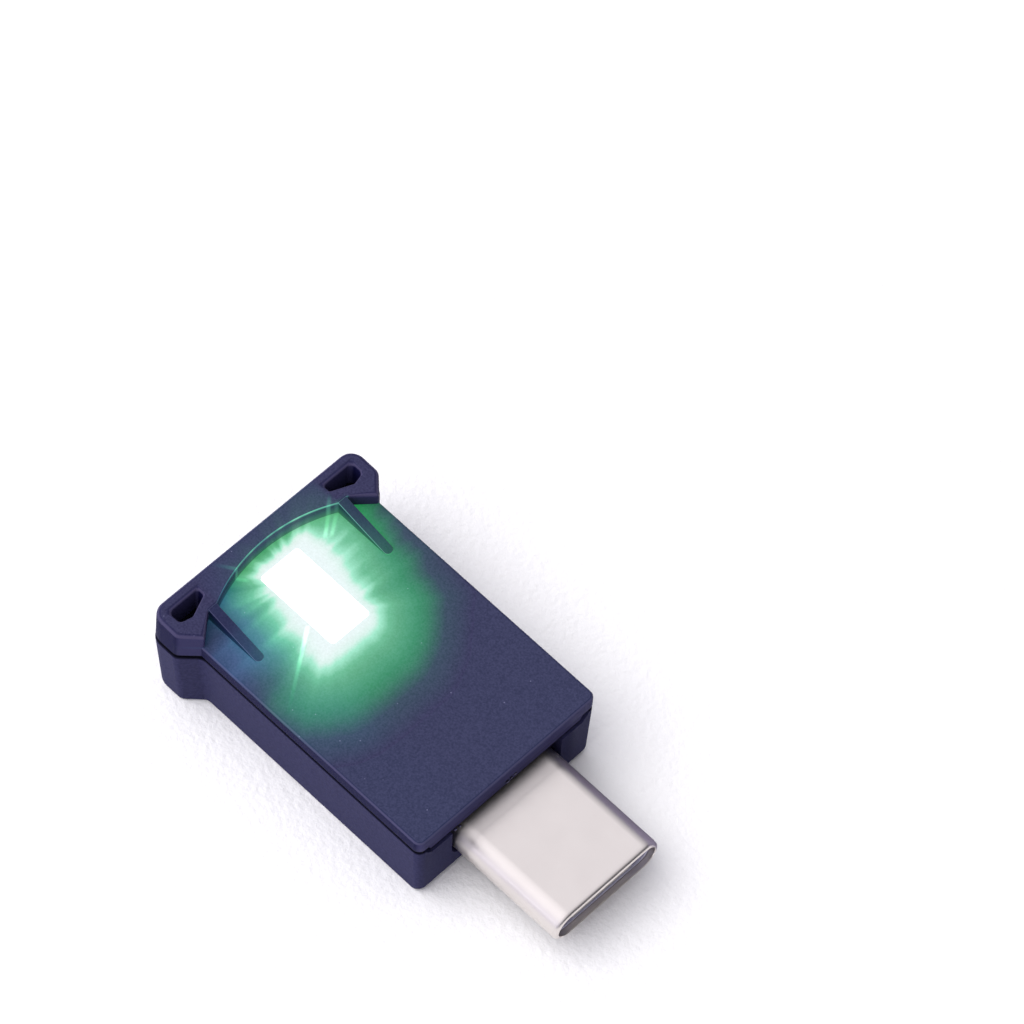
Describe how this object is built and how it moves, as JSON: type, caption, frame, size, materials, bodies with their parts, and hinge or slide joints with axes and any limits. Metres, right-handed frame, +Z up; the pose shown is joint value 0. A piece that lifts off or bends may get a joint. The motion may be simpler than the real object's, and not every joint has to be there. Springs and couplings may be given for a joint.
{
  "type": "plug-in light",
  "caption": "Small plug-in light: a flat plastic body with a lit window and a lanyard slot in each end lug, and a bare oval reversible plug on the other end.",
  "frame": {"origin": "middle of the whole footprint, at the underside of the lower shell", "axes": "+X the way the plug points, +Z up, out of the cover; +Y across the body"},
  "size_m": [0.0288, 0.0162, 0.0073],
  "materials": {
    "base_plastic": "dark blue-black moulded ABS, fine matte",
    "cover_plastic": "dark blue-black moulded ABS, fine spark-eroded grain",
    "window_frosted": "frosted polycarbonate, lit green from behind",
    "board_laminate": "glass-epoxy laminate under green solder mask",
    "lamp_white": "white moulded reflector body",
    "lamp_resin": "cast clear resin",
    "chip_epoxy": "black moulded epoxy",
    "lead_tinned": "tin-plated lead frame",
    "contact_gold": "gold-plated copper alloy strip",
    "resistor_black": "black resistor coating",
    "capacitor_ceramic": "sintered brown ceramic",
    "plug_moulding": "black moulded liquid-crystal polymer",
    "plug_steel": "deep-drawn stainless steel, satin nickel plated",
    "spring_steel": "stamped stainless spring strip"
  },
  "bodies": {
    "root": {"base_shell": "base_plastic", "capacitor": "capacitor_ceramic", "chip_lead_front_1": "lead_tinned", "chip_lead_front_2": "lead_tinned", "chip_lead_front_3": "lead_tinned", "chip_lead_rear_1": "lead_tinned", "chip_lead_rear_2": "lead_tinned", "chip_lead_rear_3": "lead_tinned", "circuit_board": "board_laminate", "contact_lower_1": "contact_gold", "contact_lower_12": "contact_gold", "contact_lower_4": "contact_gold", "contact_lower_9": "contact_gold", "contact_upper_1": "contact_gold", "contact_upper_12": "contact_gold", "contact_upper_4": "contact_gold", "contact_upper_5": "contact_gold", "contact_upper_9": "contact_gold", "control_chip": "chip_epoxy", "ground_spring_lower": "spring_steel", "ground_spring_upper": "spring_steel", "lamp_body_front": "lamp_white", "lamp_body_rear": "lamp_white", "lamp_resin_front": "lamp_resin", "lamp_resin_rear": "lamp_resin", "latch_spring_left": "spring_steel", "latch_spring_right": "spring_steel", "light_window": "window_frosted", "plug_insulator": "plug_moulding", "plug_rear_block": "plug_moulding", "plug_shell": "plug_steel", "resistor_left": "resistor_black", "resistor_right": "resistor_black", "top_cover": "cover_plastic"}
  },
  "joints": []
}
